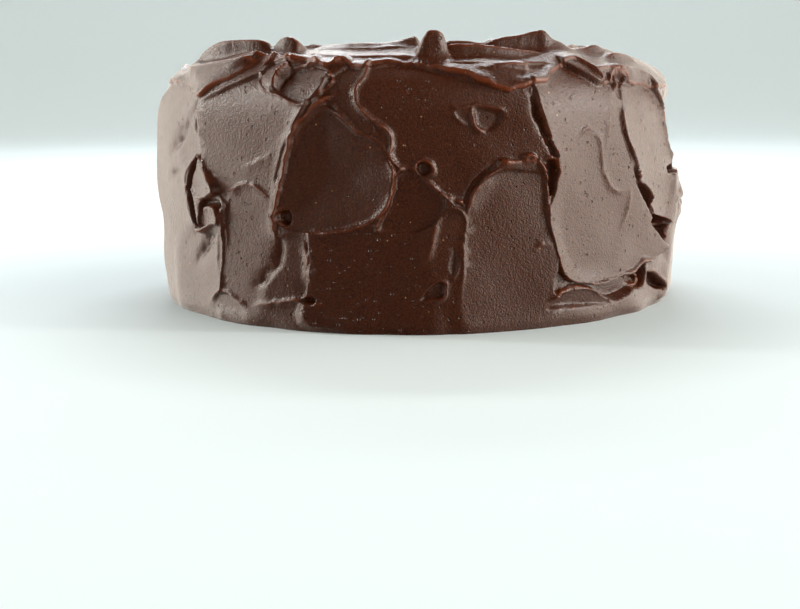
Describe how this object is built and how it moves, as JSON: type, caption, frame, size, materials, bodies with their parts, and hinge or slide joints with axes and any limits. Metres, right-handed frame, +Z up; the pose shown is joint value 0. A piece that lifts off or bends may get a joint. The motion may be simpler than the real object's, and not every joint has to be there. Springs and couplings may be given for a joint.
{
  "type": "layer cake",
  "caption": "Whole round layer cake, uncut, coated in chocolate frosting spread and swirled with a knife, standing on its flat underside.",
  "frame": {"origin": "centre of the cake's flat underside, where it rests on a plate or board", "axes": "+Z up through the middle of the cake; -Y towards the side that is seen first; +X to the right of it"},
  "size_m": [0.2379, 0.239, 0.1172],
  "materials": {
    "chocolate_frosting": "satin"
  },
  "bodies": {
    "root": {"frosted_cake": "chocolate_frosting"}
  },
  "joints": []
}
